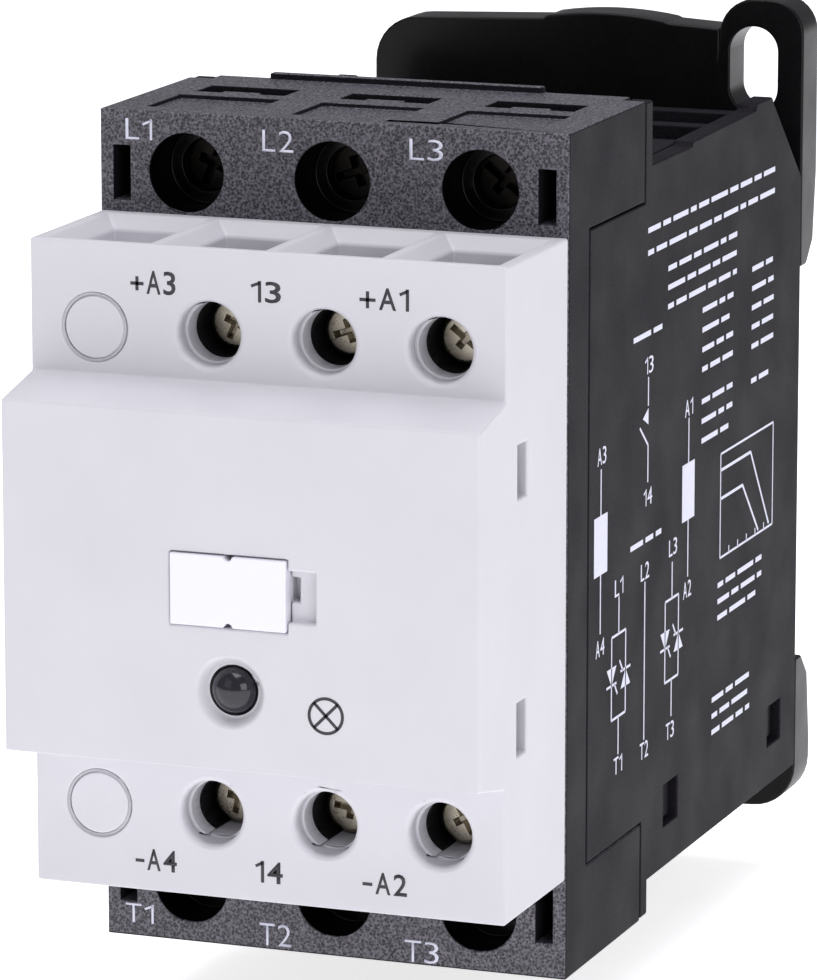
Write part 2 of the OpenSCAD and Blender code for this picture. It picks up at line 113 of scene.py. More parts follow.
def selectFaces(piece, wanted):
    # leaves the piece in edit mode with the faces that pass the test selected
    workOn(piece)
    bpy.ops.object.mode_set(mode='EDIT')
    bpy.ops.mesh.select_mode(type='FACE')
    bpy.ops.mesh.select_all(action='DESELECT')
    edit = bmesh.from_edit_mesh(piece.data)
    for face in edit.faces:
        if wanted(face):
            face.select_set(True)
    bmesh.update_edit_mesh(piece.data)


def applyBevel(piece, width, segments=2, angle=35):
    workOn(piece)
    bpy.ops.object.shade_smooth()
    bevel = piece.modifiers.new("edges", 'BEVEL')
    bevel.width = width * mm
    bevel.segments = segments
    bevel.limit_method = 'ANGLE'
    bevel.angle_limit = math.radians(angle)
    bevel.use_clamp_overlap = False
    bevel.harden_normals = True
    bpy.ops.object.modifier_apply(modifier=bevel.name)
    flatten = piece.modifiers.new("face normals", 'WEIGHTED_NORMAL')   # large faces stay flat in the light
    flatten.mode = 'FACE_AREA'
    flatten.weight = 100
    flatten.keep_sharp = True
    bpy.ops.object.modifier_apply(modifier=flatten.name)


def placeInMesh(piece):
    workOn(piece)
    bpy.ops.object.transform_apply(location=True, rotation=True, scale=True)


def roundedCopy(nodeName, pieceName, body, width, segments):
    piece = bpy.data.objects.new(pieceName, frame["nodes"][nodeName].data.copy())
    bpy.context.scene.collection.objects.link(piece)
    piece.data.materials.clear()
    workOn(piece)
    bpy.ops.object.mode_set(mode='EDIT')
    bpy.ops.mesh.select_all(action='SELECT')
    bpy.ops.mesh.remove_doubles(threshold=0.002 * mm)
    bpy.ops.mesh.dissolve_limited(angle_limit=math.radians(1))
    bpy.ops.object.mode_set(mode='OBJECT')
    applyBevel(piece, width, segments)
    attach(piece, body)
    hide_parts(nodeName)
    return piece


def paintFaces(piece, wanted, material):
    piece.data.materials.append(material)
    selectFaces(piece, wanted)
    piece.active_material_index = len(piece.data.materials) - 1
    bpy.ops.object.material_slot_assign()
    bpy.ops.object.mode_set(mode='OBJECT')


def screwNodes(sides):
    return [f"{side}_screw_{n}" for side in sides for n in (1, 2, 3)]


def screwAxes(sides):
    # the screws lie along Y, so an axis is a place in XZ
    return [(sum(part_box(name), Vector()) / 2).xz for name in screwNodes(sides)]


def distanceToAxis(point, axes):
    return min((point.xz - axis).length for axis in axes)


def pieceNameOf(nodeName):
    return nodeName.replace("_", " ").title().replace(" ", "")


slotOf = {part["node"]: part["material_slot"] for part in frame["record"]["subparts"]}


def mouldedWhiteAbs():
    # ABS from a finely eroded mould: satin, cool white, a faint cloudiness over each face
    look = {"high": "#D4D3D8", "low": "#CBCACF", "cloudMm": 9, "grainMm": 0.22, "grainDepthMm": 0.012}
    material, tree, shader, place = startMaterial("moulded white ABS", {
        "Roughness": 0.5, "IOR": 1.53, "Specular IOR Level": 0.45})
    cloud = addNode(tree, "ShaderNodeTexNoise", None, {
        "Vector": place, "Scale": 1 / (look["cloudMm"] * mm), "Detail": 3.0, "Roughness": 0.55})
    tone = addNode(tree, "ShaderNodeMix", {"data_type": 'RGBA'}, {
        "Factor": cloud.outputs["Fac"], 6: linearColour(look["low"]), 7: linearColour(look["high"])})
    grain = addNode(tree, "ShaderNodeTexNoise", None, {
        "Vector": place, "Scale": 1 / (look["grainMm"] * mm), "Detail": 2.0})
    relief = addNode(tree, "ShaderNodeBump", None, {
        "Strength": 0.5, "Distance": look["grainDepthMm"] * mm, "Height": grain.outputs["Fac"]})
    sheen = addNode(tree, "ShaderNodeMapRange", None, {
        "Value": grain.outputs["Fac"], "To Min": 0.42, "To Max": 0.58})
    finishShader(tree, shader, tone, sheen, relief)
    return material


def blackPolyamide(name, look):
    # glass-filled PA66: near black, with the spark-eroded grain of its mould as relief; the lighter speckles
    # the grain mixes into the base colour are painted glints, strong where the high tone is set much
    # lighter; the grain is drawn coarser than a real one, which would be too fine to see
    material, tree, shader, place = startMaterial(name, {"IOR": 1.53, "Specular IOR Level": look["gloss"]})
    grain = addNode(tree, "ShaderNodeTexNoise", None, {
        "Vector": place, "Scale": 1 / (look["grainMm"] * mm), "Detail": 3.0, "Roughness": 0.6})
    cells = addNode(tree, "ShaderNodeTexVoronoi", None, {
        "Vector": place, "Scale": 1 / (look["grainMm"] * 1.3 * mm)})
    both = addNode(tree, "ShaderNodeMath", {"operation": 'MULTIPLY_ADD'}, {
        0: cells.outputs["Distance"], 1: 0.5, 2: grain.outputs["Fac"]})
    spread = addNode(tree, "ShaderNodeMapRange", {"interpolation_type": 'SMOOTHSTEP'}, {
        "Value": both.outputs["Value"], "From Min": look["from"], "From Max": look["to"]})
    tone = addNode(tree, "ShaderNodeMix", {"data_type": 'RGBA'}, {
        "Factor": spread.outputs["Result"], 6: linearColour(look["low"]), 7: linearColour(look["high"])})
    cloud = addNode(tree, "ShaderNodeTexNoise", None, {
        "Vector": place, "Scale": 1 / (7 * mm), "Detail": 2.0})
    sheen = addNode(tree, "ShaderNodeMapRange", None, {
        "Value": cloud.outputs["Fac"], "From Min": 0.3, "From Max": 0.7,
        "To Min": look["roughness"] - 0.05, "To Max": look["roughness"] + 0.05})
    relief = addNode(tree, "ShaderNodeBump", None, {
        "Strength": look["strength"], "Distance": look["depthMm"] * mm, "Height": both.outputs["Value"]})
    finishShader(tree, shader, tone, sheen, relief)
    return material


def platedMetal(name, look):
    # plated steel or drawn copper: bright, with fine turning or rolling marks and dull patches
    material, tree, shader, place = startMaterial(name, {"Metallic": 1.0})
    stretch = addNode(tree, "ShaderNodeMapping", None, {"Vector": place, "Scale": look["stretch"]})
    marks = addNode(tree, "ShaderNodeTexNoise", None, {
        "Vector": stretch.outputs["Vector"], "Scale": 1 / (look["marksMm"] * mm), "Detail": 3.0})
    dull = addNode(tree, "ShaderNodeTexNoise", None, {
        "Vector": place, "Scale": 1 / (1.5 * mm), "Detail": 2.0})
    tone = addNode(tree, "ShaderNodeMix", {"data_type": 'RGBA'}, {
        "Factor": dull.outputs["Fac"], 6: linearColour(look["low"]), 7: linearColour(look["high"])})
    sheen = addNode(tree, "ShaderNodeMapRange", None, {
        "Value": marks.outputs["Fac"],
        "To Min": look["roughness"] - 0.08, "To Max": look["roughness"] + 0.12})
    relief = addNode(tree, "ShaderNodeBump", None, {
        "Strength": 0.4, "Distance": 0.01 * mm, "Height": marks.outputs["Fac"]})
    finishShader(tree, shader, tone, sheen, relief)
    return material


def plainMoulding(name, look):
    # smooth moulded or coated surface with slight unevenness of tone and gloss
    material, tree, shader, place = startMaterial(name, {"IOR": 1.5})
    cloud = addNode(tree, "ShaderNodeTexNoise", None, {
        "Vector": place, "Scale": 1 / (look["cloudMm"] * mm), "Detail": 4.0})
    tone = addNode(tree, "ShaderNodeMix", {"data_type": 'RGBA'}, {
        "Factor": cloud.outputs["Fac"], 6: linearColour(look["low"]), 7: linearColour(look["high"])})
    sheen = addNode(tree, "ShaderNodeMapRange", None, {
        "Value": cloud.outputs["Fac"],
        "To Min": look["roughness"] - 0.06, "To Max": look["roughness"] + 0.06})
    relief = addNode(tree, "ShaderNodeBump", None, {
        "Strength": 0.3, "Distance": 0.01 * mm, "Height": cloud.outputs["Fac"]})
    finishShader(tree, shader, tone, sheen, relief)
    return material


whiteAbs = mouldedWhiteAbs()
# the lit copy for the housing's front and top: coarse grain relief, and a light high tone that paints glints
# into the speckles
grainAndPaintedGlintBlack = blackPolyamide("spark-eroded black polyamide", {
    "low": "#141217", "high": "#706D76", "from": 0.5, "to": 1.05, "grainMm": 0.2,
    "roughness": 0.38, "strength": 1.0, "depthMm": 0.06, "gloss": 0.4})
smoothBlack = blackPolyamide("black polyamide", {
    "low": "#121014", "high": "#211F24", "from": 0.4, "to": 1.0, "grainMm": 0.18,
    "roughness": 0.55, "strength": 0.5, "depthMm": 0.02, "gloss": 0.05})
# painted shade: a darker copy of the black for the rail plate, which sits in the shade of the housing
shadedPlateBlack = blackPolyamide("black polyamide of the rail plate", {
    "low": "#050506", "high": "#0D0C0E", "from": 0.4, "to": 1.0, "grainMm": 0.25,
    "roughness": 0.34, "strength": 0.4, "depthMm": 0.012, "gloss": 0.18})
latchBlack = blackPolyamide("black acetal", {
    "low": "#09090A", "high": "#121214", "from": 0.4, "to": 1.0, "grainMm": 0.3,
    "roughness": 0.3, "strength": 0.3, "depthMm": 0.01, "gloss": 0.25})
# painted shade: a near-black copy of the black for the walls deep in the power screw holes
paintedShadeBoreBlack = blackPolyamide("polished black polyamide", {
    "low": "#020202", "high": "#040405", "from": 0.4, "to": 1.0, "grainMm": 0.3,
    "roughness": 0.25, "strength": 0.2, "depthMm": 0.01, "gloss": 0.15})
labelWhite = plainMoulding("glossy white label", {
    "low": "#E6E6EE", "high": "#EBEBF3", "cloudMm": 3, "roughness": 0.35})
smokeLens = plainMoulding("smoked acrylic", {
    "low": "#17151B", "high": "#2A2830", "cloudMm": 1.2, "roughness": 0.12})
darkInk = plainMoulding("dark printing ink", {
    "low": "#2B292E", "high": "#353339", "cloudMm": 0.6, "roughness": 0.5})
whiteInk = plainMoulding("white printing ink", {
    "low": "#D5D6E6", "high": "#E2E3F2", "cloudMm": 0.6, "roughness": 0.55})
# painted shade: the power screws' nickel drawn near black, for the shade deep in their holes
shadedNickel = platedMetal("blackened nickel on steel", {
    "low": "#141312", "high": "#2A2825", "roughness": 0.3, "marksMm": 0.2, "stretch": (1, 0.2, 1)})
nickel = platedMetal("nickel-plated steel", {
    "low": "#A39A88", "high": "#D8D0BE", "roughness": 0.28, "marksMm": 0.2, "stretch": (1, 0.2, 1)})
tinPlate = platedMetal("tin-plated steel", {
    "low": "#A9A8A4", "high": "#CFCECB", "roughness": 0.34, "marksMm": 0.3, "stretch": (1, 1, 0.2)})
copper = platedMetal("rolled copper", {
    "low": "#B4714E", "high": "#D99672", "roughness": 0.33, "marksMm": 0.4, "stretch": (1, 1, 0.1)})
tinnedCopper = platedMetal("tinned copper wire", {
    "low": "#B9B0A0", "high": "#D6D0C4", "roughness": 0.3, "marksMm": 0.3, "stretch": (1, 0.1, 1)})
zincSteel = platedMetal("zinc-plated steel", {
    "low": "#8F9196", "high": "#C3C6CB", "roughness": 0.3, "marksMm": 0.3, "stretch": (1, 1, 1)})
springSteel = platedMetal("drawn spring steel", {
    "low": "#77777B", "high": "#A5A6AA", "roughness": 0.3, "marksMm": 0.2, "stretch": (1, 1, 1)})
anodised = platedMetal("black anodised aluminium", {
    "low": "#1C1C1F", "high": "#2C2C30", "roughness": 0.42, "marksMm": 0.3, "stretch": (1, 1, 0.05)})
circuitBoard = plainMoulding("green solder mask", {
    "low": "#0F4A26", "high": "#186235", "cloudMm": 2, "roughness": 0.28})
blackEpoxy = plainMoulding("black epoxy", {
    "low": "#17171A", "high": "#232327", "cloudMm": 0.8, "roughness": 0.55})
relayCase = plainMoulding("cream PBT", {
    "low": "#CFC9B6", "high": "#DDD8C8", "cloudMm": 2, "roughness": 0.4})
capacitorSleeve = plainMoulding("blue PVC sleeve", {
    "low": "#1D2C63", "high": "#2A3C7C", "cloudMm": 1.5, "roughness": 0.3})
siliconePad = plainMoulding("grey silicone pad", {
    "low": "#8C8F90", "high": "#9DA0A1", "cloudMm": 1, "roughness": 0.75})
ledPackage = plainMoulding("LED package", {
    "low": "#D9D9C6", "high": "#ECECDD", "cloudMm": 0.5, "roughness": 0.2})

finishOf = {
    "black_moulding": smoothBlack, "rail_plate_moulding": shadedPlateBlack, "latch_moulding": latchBlack,
    "white_moulding": whiteAbs, "label_plastic": labelWhite, "smoke_lens": smokeLens,
    "led_package": ledPackage, "circuit_board": circuitBoard, "black_epoxy": blackEpoxy,
    "relay_case": relayCase, "capacitor_sleeve": capacitorSleeve, "tinned_copper": tinnedCopper,
    "tin_plate": tinPlate, "nickel_screw": nickel, "copper": copper, "silicone_pad": siliconePad,
    "anodised_aluminium": anodised, "zinc_steel": zincSteel, "spring_steel": springSteel}

for nodeName, cadNode in frame["nodes"].items():
    cadNode.data.materials.clear()
    cadNode.data.materials.append(finishOf[slotOf[nodeName]])
print("materials made")


mouldings = {
    "front_cover": ("frontCover", "case", 0.22, 3),
    "terminal_housing": ("terminalHousing", "case", 0.16, 2),
    "base_shell": ("baseShell", "case", 0.2, 2),
    "rear_plate": ("railPlate", "case", 0.25, 2),
    "rail_latch": ("railLatch", "rail_latch", 0.2, 2),
    "label_insert": ("labelInsert", "label_insert", 0.12, 2)}

for nodeName, (pieceName, body, width, segments) in mouldings.items():
    piece = roundedCopy(nodeName, pieceName, body, width, segments)
    piece.data.materials.append(finishOf[slotOf[nodeName]])
    print("moulding", pieceName, len(piece.data.polygons), "faces")

powerSides = ("line", "load")
controlSides = ("upper_control", "lower_control")

# the housing's front and top faces, which face the light, get the coarse grain relief and a lighter copy of
# the black whose light speckles are painted glints; the screw holes are smooth, with painted shade: a
# near-black copy
housing = bpy.data.objects["terminalHousing"]
housingFront = min(v.co.y for v in housing.data.vertices if abs(v.co.z) > 35 * mm)
powerAxes = screwAxes(powerSides)
screwHole = {"radius": 3.75, "from": 0.2, "to": 9}   # a little wider than the hole; depths behind the front


# picks the faces that get the painted glints: the top faces and the front plane of the housing
def hasGrainAndPaintedLight(face):
    atFront = face.calc_center_median().y < housingFront + 0.4 * mm
    return face.normal.z > 0.9 or (face.normal.y < -0.9 and atFront)


def liesInScrewHole(face):
    middle = face.calc_center_median()
    depth = middle.y - housingFront
    near = distanceToAxis(middle, powerAxes) < screwHole["radius"] * mm
    return near and screwHole["from"] * mm < depth < screwHole["to"] * mm


paintFaces(housing, hasGrainAndPaintedLight, grainAndPaintedGlintBlack)
# painted shade: the walls deep in the power screw holes go near black
paintFaces(housing, liesInScrewHole, paintedShadeBoreBlack)

smallParts = {
    "led_lens": ("ledLens", "case", 0.12, 3),
    "control_terminal_blocks": ("controlBlocks", "case", 0.15, 2)}
for side in powerSides + controlSides:
    for n in (1, 2, 3):
        cage = f"{side}_cage_{n}"
        smallParts[cage] = (pieceNameOf(cage), cage, 0.14, 2)
for nodeName, (pieceName, body, width, segments) in smallParts.items():
    piece = roundedCopy(nodeName, pieceName, body, width, segments)
    piece.data.materials.append(finishOf[slotOf[nodeName]])
spring = roundedCopy("latch_spring", "latchSpring", "case", 0.03, 1)
spring.data.materials.append(springSteel)
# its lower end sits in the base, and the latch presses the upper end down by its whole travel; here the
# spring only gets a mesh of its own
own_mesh(spring)

# the first part of each terminal block's bores is coloured white, as if the cover's sleeves lined it
blocks = bpy.data.objects["controlBlocks"]
controlAxes = screwAxes(controlSides)
sleeve = {"reach": 2.0, "radius": 3.3}
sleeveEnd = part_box("control_terminal_blocks")[0].y + sleeve["reach"] * mm
workOn(blocks)
bpy.ops.object.mode_set(mode='EDIT')
bpy.ops.mesh.select_all(action='SELECT')
bpy.ops.mesh.bisect(plane_co=(0, sleeveEnd, 0), plane_no=(0, 1, 0))
bpy.ops.object.mode_set(mode='OBJECT')


def isSleeve(face):
    middle = face.calc_center_median()
    near = distanceToAxis(middle, controlAxes) < sleeve["radius"] * mm
    return near and middle.y < sleeveEnd


paintFaces(blocks, isSleeve, whiteAbs)
print("lens, terminal blocks, cages and spring made")


def turned(name, profile, sides):
    # a turned body about Y: (distance from the tip, radius) in mm, drawn out ring by ring towards -Y
    start, radius = profile[0]
    bpy.ops.mesh.primitive_circle_add(vertices=sides, radius=radius * mm, fill_type='NGON',
                                      rotation=(math.pi / 2, 0, 0))
    piece = bpy.context.object
    piece.name = name
    placeInMesh(piece)
    bpy.ops.object.mode_set(mode='EDIT')
    bpy.ops.mesh.select_all(action='SELECT')
    for along, newRadius in profile[1:]:
        bpy.ops.mesh.extrude_region_move(TRANSFORM_OT_translate={"value": (0, (start - along) * mm, 0)})
        bpy.ops.transform.resize(value=(newRadius / radius,) * 3, center_override=(0, -along * mm, 0))
        start, radius = along, newRadius
    bpy.ops.mesh.select_all(action='SELECT')
    bpy.ops.mesh.normals_make_consistent(inside=False)
    bpy.ops.object.mode_set(mode='OBJECT')
    return piece


def recessCutter(look):
    # a cross recess with a longer, narrower blade across it for a flat driver
    blades = []
    depth = look["recessDepth"]
    sizes = (look["crossSpan"], look["crossWidth"], 0), (look["slotSpan"], look["slotWidth"], 90)
    taper = 0.72
    for length, width, turn in sizes:
        bpy.ops.mesh.primitive_cube_add(size=1)
        blade = bpy.context.object
        blade.scale = (length * mm, 2 * depth * mm, width * mm)
        blade.rotation_euler = (0, math.radians(turn), 0)
        placeInMesh(blade)
        selectFaces(blade, lambda f: f.normal.y > 0.9)
        bpy.ops.transform.resize(value=(taper, 1, taper))
        bpy.ops.object.mode_set(mode='OBJECT')
        blades.append(blade)
    return blades


def cutAway(piece, cutter):
    workOn(piece)
    cut = piece.modifiers.new("cut", 'BOOLEAN')
    cut.operation = 'DIFFERENCE'
    cut.object = cutter
    cut.solver = 'EXACT'
    bpy.ops.object.modifier_apply(modifier=cut.name)
    bpy.data.objects.remove(cutter, do_unlink=True)


def makeScrew(name, look):
    # rolled thread, pan head with a rolled edge, combined recess; head front at y = -length
    length, thick, shank, head = look["length"], look["headThick"], look["shank"], look["head"]
    pitch, root = look["pitch"], look["shank"] - 0.55 * look["pitch"]
    profile = [(0, root * 0.8), (0.25 * pitch, root)]
    along = 0.25 * pitch
    while along + pitch < length - thick:
        profile += [(along + 0.4 * pitch, shank), (along + 0.55 * pitch, shank), (along + pitch, root)]
        along += pitch
    under = length - thick
    edge, chamfer, edgeSteps = 0.32 * thick, 0.12, 4
    profile += [(under, root), (under + 0.001, head - chamfer), (under + chamfer, head)]
    for step in range(edgeSteps + 1):
        turn = math.radians(90 * step / edgeSteps)
        profile.append((length - edge + edge * math.sin(turn), head - edge * (1 - math.cos(turn))))
    piece = turned(name, profile, 40)
    for blade in recessCutter(look):
        blade.location.y = -length * mm
        placeInMesh(blade)
        cutAway(piece, blade)
    applyBevel(piece, 0.05, 1, 40)
    return piece


screwKinds = {
    # the power screws take the nickel painted dark for shade
    "power": {"length": 4.75, "headThick": 1.7, "head": 3.3, "shank": 1.95, "pitch": 0.7,
              "crossSpan": 3.3, "crossWidth": 0.95, "slotSpan": 5.2, "slotWidth": 0.85,
              "recessDepth": 1.15, "finish": shadedNickel},
    "control": {"length": 3.85, "headThick": 1.4, "head": 2.4, "shank": 1.25, "pitch": 0.45,
                "crossSpan": 2.5, "crossWidth": 0.75, "slotSpan": 3.7, "slotWidth": 0.65,
                "recessDepth": 0.95, "finish": nickel}}
screwSides = {"power": powerSides, "control": controlSides}
restTurns = (24, 71, 128, 12, 96, 151)   # how each screw was left, in degrees
for kind, look in screwKinds.items():
    pattern = makeScrew("pattern " + kind, look)
    for nodeName, turn in zip(screwNodes(screwSides[kind]), restTurns):
        low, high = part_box(nodeName)
        screw = bpy.data.objects.new(pieceNameOf(nodeName), pattern.data.copy())
        bpy.context.scene.collection.objects.link(screw)
        screw.rotation_euler = (0, math.radians(turn), 0)
        screw.location = ((low.x + high.x) / 2, low.y + look["length"] * mm, (low.z + high.z) / 2)
        placeInMesh(screw)
        screw.data.materials.append(look["finish"])
        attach(screw, nodeName)
        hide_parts(nodeName)
    bpy.data.objects.remove(pattern, do_unlink=True)
print("terminal screws made")

# printed planes: "across" and "up" of a print are X and Z on the front faces, Y and Z on the side
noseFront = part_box("front_cover")[0].y / mm
controlStep = 6.8   # from the cover's nose back to its screw holes
frontPlanes = {"nose": noseFront, "control": noseFront + controlStep, "power": housingFront / mm}
planes = {name: {"turn": (90, 0, 0), "at": (0, y, 0), "across": (1, 0, 0), "out": (0, -1, 0)}
          for name, y in frontPlanes.items()}
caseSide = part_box("base_shell")[1].x / mm
planes["side"] = {"turn": (90, 0, 90), "at": (caseSide, 0, 0), "across": (0, 1, 0), "out": (1, 0, 0)}


def layOnPlane(flat, plane, middle, scale=(1, 1), turn=0):
    # flat lies in XY about its own origin; middle is (across, up) in mm
    sheet = planes[plane]
    tilt = [math.radians(a) for a in sheet["turn"]]
    place = Vector(sheet["at"]) + middle[0] * Vector(sheet["across"]) + middle[1] * Vector((0, 0, 1))
    workOn(flat)
    flat.rotation_euler = (0, 0, math.radians(turn))
    flat.scale = (scale[0], scale[1], 1)
    bpy.ops.object.transform_apply(location=True, rotation=True, scale=True)
    flat.rotation_euler = tilt
    flat.location = place * mm
    placeInMesh(flat)
    prints[plane].append(flat)


def inkLetter(plane, letter, low, high, weight):
    bpy.ops.object.text_add()
    text = bpy.context.object
    text.data.body = letter
    text.data.resolution_u = 3
    text.data.offset = weight
    bpy.ops.object.convert(target='MESH')
    flat = bpy.context.object
    corners = [v.co for v in flat.data.vertices]
    left, right = min(c.x for c in corners), max(c.x for c in corners)
    bottom, top = min(c.y for c in corners), max(c.y for c in corners)
    flat.location = (-(left + right) / 2, -(bottom + top) / 2, 0)
    placeInMesh(flat)
    size = ((high[0] - low[0]) * mm / (right - left), (high[1] - low[1]) * mm / (top - bottom))
    layOnPlane(flat, plane, ((low[0] + high[0]) / 2, (low[1] + high[1]) / 2), size)


def inkLine(plane, start, end, width):
    bpy.ops.mesh.primitive_plane_add(size=1)
    run, rise = end[0] - start[0], end[1] - start[1]
    flat = bpy.context.object
    flat.scale = (math.hypot(run, rise) * mm, width * mm, 1)
    placeInMesh(flat)
    layOnPlane(flat, plane, ((start[0] + end[0]) / 2, (start[1] + end[1]) / 2),
               turn=math.degrees(math.atan2(rise, run)))


def inkText(plane, words, low, high, weight, stroke):
    # letters share the box by their widths; the signs and the figure 1 are drawn as strokes
    widths = {"1": 0.42, "+": 0.72, "-": 0.5, "L": 0.62, "3": 0.66, "2": 0.68}
    usualWidth, gap, signHeight, flagEnd = 0.76, 0.16, 0.42, 0.74
    total = sum(widths.get(letter, usualWidth) for letter in words) + gap * (len(words) - 1)
    unit = (high[0] - low[0]) / total
    left, bottom, top = low[0], low[1], high[1]
    signUp = bottom + signHeight * (top - bottom)
    for letter in words:
        right = left + widths.get(letter, usualWidth) * unit
        middle = (left + right) / 2
        reach = (right - left) / 2
        if letter == "1":
            stem = right - stroke / 2
            inkLine(plane, (stem, bottom), (stem, top), stroke)
            flagLow = bottom + flagEnd * (top - bottom)
            inkLine(plane, (stem, top - stroke * 0.6), (left, flagLow), stroke * 0.9)
        elif letter in "+-":
            inkLine(plane, (left, signUp), (right, signUp), stroke)
            if letter == "+":
                inkLine(plane, (middle, signUp - reach), (middle, signUp + reach), stroke)
        else:
            inkLetter(plane, letter, (left, bottom), (right, top), weight)
        left = right + gap * unit


def inkPath(plane, points, width):
    for start, end in zip(points, points[1:]):
        inkLine(plane, start, end, width)


def inkTriangle(plane, middle, width, height, turn):
    bpy.ops.mesh.primitive_circle_add(vertices=3, radius=1, fill_type='NGON')
    flat = bpy.context.object
    flat.scale = (width / math.sqrt(3) * mm, height / 1.5 * mm, 1)
    placeInMesh(flat)
    layOnPlane(flat, plane, middle, turn=turn)


def inkRing(plane, middle, radius, width):
    bpy.ops.mesh.primitive_circle_add(vertices=36, radius=radius * mm, fill_type='NGON')
    flat = bpy.context.object
    workOn(flat)
    bpy.ops.object.mode_set(mode='EDIT')
    bpy.ops.mesh.select_all(action='SELECT')
    bpy.ops.mesh.inset(thickness=width * mm)
    bpy.ops.mesh.delete(type='FACE')
    bpy.ops.object.mode_set(mode='OBJECT')
    layOnPlane(flat, plane, middle)


prints = {plane: [] for plane in planes}
inkThickness = 0.02

# corners of each mark in mm, as left, bottom, right, top; on the side, the middle of each mark
controlMarks = {
    "+A3": (-12.8, 29.8, -8.5, 31.9), "13": (-1.35, 29.7, 1.46, 31.6), "+A1": (8.8, 29.75, 13.4, 31.7),
    "-A4": (-12.8, -22.7, -8.8, -20.7), "14": (-1.2, -22.8, 1.4, -20.8), "-A2": (9.0, -22.8, 13.2, -20.8)}
powerMarks = {
    "L1": (-20.0, 40.8, -17.4, 42.7), "L2": (-6.7, 40.4, -3.7, 42.35), "L3": (7.4, 40.4, 10.6, 42.3),
    "T1": (-20.7, -32.6, -17.9, -30.8), "T2": (-7.3, -33.5, -4.2, -31.4), "T3": (6.95, -33.65, 10.25, -31.6)}
sideMarks = {
    "13": (-47.4, 18.8), "14": (-47.5, 6.4), "A3": (-60.8, 12.8), "A4": (-61.0, -5.0),
    "A1": (-35.4, 12.6), "A2": (-35.5, -4.9), "L1": (-55.7, -0.4), "T1": (-55.7, -17.2),
    "L2": (-48.2, -0.5), "T2": (-48.1, -17.6), "L3": (-39.9, 0.1), "T3": (-40.4, -17.5)}
for words, (x1, z1, x2, z2) in controlMarks.items():
    inkText("control", words, (x1, z1), (x2, z2), weight=0.012, stroke=0.3)
for words, (x1, z1, x2, z2) in powerMarks.items():
    inkText("power", words, (x1, z1), (x2, z2), weight=-0.008, stroke=0.22)
halfMark = (1.2, 0.8)
for words, (y, z) in sideMarks.items():
    low, high = (y - halfMark[0], z - halfMark[1]), (y + halfMark[0], z + halfMark[1])
    inkText("side", words, low, high, weight=0.0, stroke=0.2)

lamp = {"at": (8.2, -5.2), "radius": 1.7, "line": 0.28}
inkRing("nose", lamp["at"], lamp["radius"], lamp["line"])
for up in (1, -1):
    reach = lamp["radius"] * 0.66
    inkLine("nose", (lamp["at"][0] - reach, lamp["at"][1] - up * reach),
            (lamp["at"][0] + reach, lamp["at"][1] + up * reach), lamp["line"])

# the circuit on the side: an alarm contact, two control inputs and three poles
thin = 0.24
inkPath("side", [(-47.6, 17.7), (-47.6, 15.0)], thin)
inkTriangle("side", (-48.1, 14.0), 1.5, 1.6, 90)
inkPath("side", [(-50.0, 13.3), (-47.6, 11.3), (-47.6, 7.8)], thin)
for across in (-61.0, -35.4):
    inkPath("side", [(across, 11.6), (across, 7.3)], thin)
    inkPath("side", [(across - 1.85, 4.55), (across + 1.85, 4.55)], 5.5)
    inkPath("side", [(across, 1.8), (across, -3.7)], thin)
inkPath("side", [(-48.2, -1.5), (-48.2, -16.6)], thin)
for across in (-55.7, -40.1):
    inkPath("side", [(across, -1.3), (across, -4.8)], thin)
    inkPath("side", [(across - 2, -12.6), (across - 2, -4.8), (across + 2, -4.8), (across + 2, -12.6),
                     (across - 2, -12.6)], thin)
    inkPath("side", [(across, -12.6), (across, -16.2)], thin)
    inkTriangle("side", (across - 2, -8.2), 2.7, 1.7, 180)
    inkTriangle("side", (across + 2, -9.6), 2.7, 1.7, 0)
    inkPath("side", [(across - 3.4, -9.3), (across - 0.6, -9.3)], thin)
    inkPath("side", [(across + 0.6, -8.5), (across + 3.4, -8.5)], thin)
    inkPath("side", [(across - 1.2, -9.3), (across - 0.3, -10.4)], thin)
    inkPath("side", [(across + 1.2, -8.5), (across + 0.3, -7.4)], thin)

# a plain derating chart without figures, and rows of short bars where a rating text would be
chart = {"low": (-25.4, -4.0), "high": (-8.6, 6.2), "line": 0.22}
left, bottom = chart["low"]
right, top = chart["high"]
inkPath("side", [(left, bottom), (right, bottom), (right, top), (left, top), (left, bottom)], chart["line"])
inkPath("side", [(left, top - 1.6), (left + 9.5, top - 1.6), (right - 1.2, bottom + 0.3)], 0.3)
inkPath("side", [(left, top - 4.4), (left + 7.0, top - 4.4), (right - 4.6, bottom + 0.3)], 0.3)
for step in range(1, 6):
    tick = left + (right - left) * step / 6
    inkPath("side", [(tick, bottom), (tick, bottom + 0.7)], chart["line"])
barBlocks = (   # first end of the rows, width of the block, height of each row
    (-48.0, 39, (31.4, 29.3)),
    (-42.0, 21, (26.9, 25.1, 23.3)),
    (-31.5, 9.5, (21.2, 19.3, 17.4, 15.5, 12.4, 10.5, 8.6)),
    (-16.0, 7, (22.6, 20.7, 18.8, 16.9, 15.0, 11.6)),
    (-52.0, 9, (21.8,)),
    (-52.5, 9, (2.4,)),
    (-26.0, 14, (-6.6, -8.2, -9.8)),
    (-27.5, 12, (-17.6, -19.2, -20.8)))
bar = {"lengths": (3.6, 2.2, 4.4, 1.7, 3.0, 5.0, 2.5), "thick": 0.5, "gap": 0.8, "shortest": 1.2}
barCount = 0
for start, wide, rows in barBlocks:
    for up in rows:
        across = start
        while across < start + wide - bar["shortest"]:
            length = bar["lengths"][barCount % len(bar["lengths"])]
            reach = min(length, start + wide - across)
            inkLine("side", (across, up), (across + reach, up), bar["thick"])
            across += reach + bar["gap"]
            barCount += 1


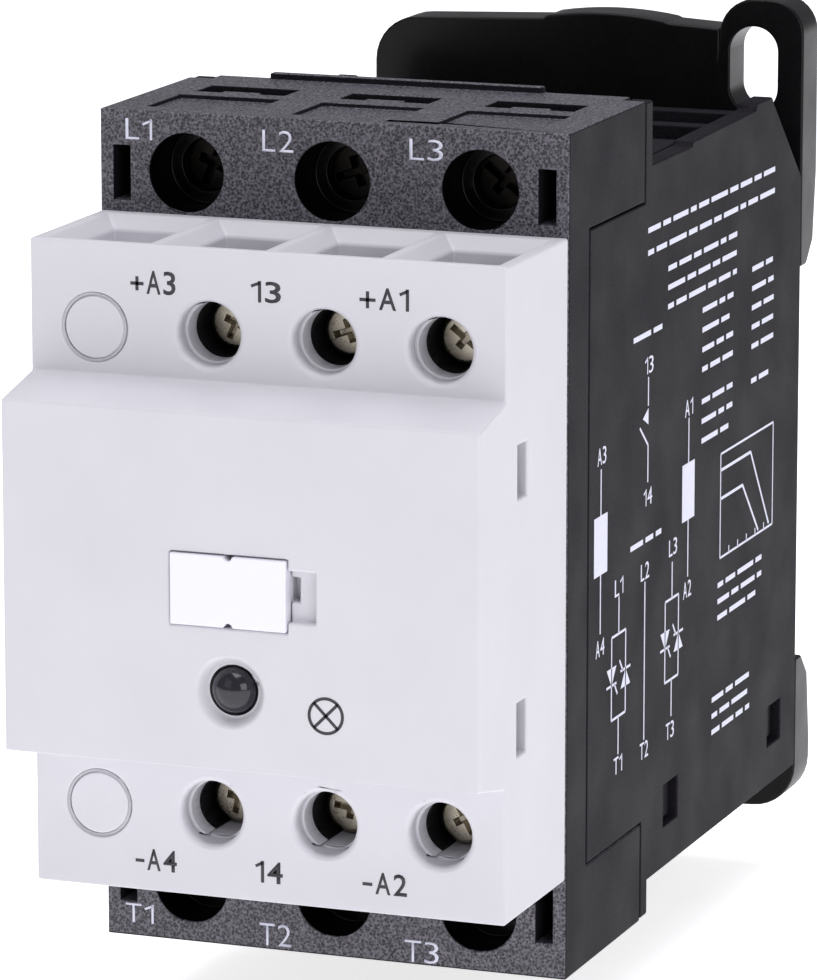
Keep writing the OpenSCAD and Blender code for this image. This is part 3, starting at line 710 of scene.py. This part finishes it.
def raiseInk(plane, pieceName, ink):
    flats = prints[plane]
    bpy.ops.object.select_all(action='DESELECT')
    for flat in flats:
        flat.select_set(True)
    bpy.context.view_layer.objects.active = flats[0]
    bpy.ops.object.join()
    piece = bpy.context.object
    piece.name = pieceName
    workOn(piece)
    bpy.ops.object.mode_set(mode='EDIT')
    bpy.ops.mesh.select_all(action='SELECT')
    lift = [c * inkThickness * mm for c in planes[plane]["out"]]
    bpy.ops.mesh.extrude_region_move(TRANSFORM_OT_translate={"value": lift})
    bpy.ops.object.mode_set(mode='OBJECT')
    piece.data.materials.clear()
    piece.data.materials.append(ink)
    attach(piece, "case")
    print("print", pieceName, len(piece.data.polygons), "faces")


raiseInk("nose", "lampSymbol", darkInk)
raiseInk("control", "controlMarks", darkInk)
raiseInk("power", "powerMarks", whiteInk)
raiseInk("side", "sideDiagram", whiteInk)

view = {"from": (0.2027, -0.5918, 0.1274), "to": (0.0002, -0.0511, 0.0061), "lens": 232.5}
bpy.ops.object.camera_add(location=view["from"])
camera = bpy.context.object
camera.rotation_euler = (Vector(view["to"]) - Vector(view["from"])).to_track_quat('-Z', 'Y').to_euler()
camera.data.sensor_fit = 'VERTICAL'
camera.data.sensor_height = 36
camera.data.lens = view["lens"]
bpy.context.scene.camera = camera

world = bpy.data.worlds.new("studio")
world.use_nodes = True
world.node_tree.nodes["Background"].inputs["Color"].default_value = linearColour("#FAFAFF")
world.node_tree.nodes["Background"].inputs["Strength"].default_value = 0.28
bpy.context.scene.world = world
bpy.context.scene.view_settings.view_transform = 'Standard'

softboxes = {
    "overhead": {"from": (0.05, -0.1, 0.9), "size": 0.8, "watts": 7.5},
    "front left": {"from": (-0.45, -0.9, 0.45), "size": 0.6, "watts": 0.5},
    "right": {"from": (0.75, -0.75, 0.3), "size": 0.5, "watts": 2.2}}
for name, box in softboxes.items():
    bpy.ops.object.light_add(type='AREA', location=box["from"])
    light = bpy.context.object
    light.name = "softbox " + name
    light.rotation_euler = (Vector((0, -0.05, 0)) - Vector(box["from"])).to_track_quat('-Z', 'Y').to_euler()
    light.data.size = box["size"]
    light.data.energy = box["watts"]
    light.data.color = linearColour("#FBFAFF")[:3]

bpy.ops.mesh.primitive_plane_add(size=6, location=(0, 0, cadBox[0].z))
floor = bpy.context.object
floor.name = "floor"
paper = plainMoulding("pale paper", {
    "low": "#F4F4F6", "high": "#F8F8FA", "cloudMm": 60, "roughness": 0.9})
glow = paper.node_tree.nodes["Principled BSDF"].inputs   # lit a little from behind, so that it stays white
glow["Emission Color"].default_value = linearColour("#FFFFFF")
glow["Emission Strength"].default_value = 0.75
floor.data.materials.append(paper)
print("camera, light and floor set")
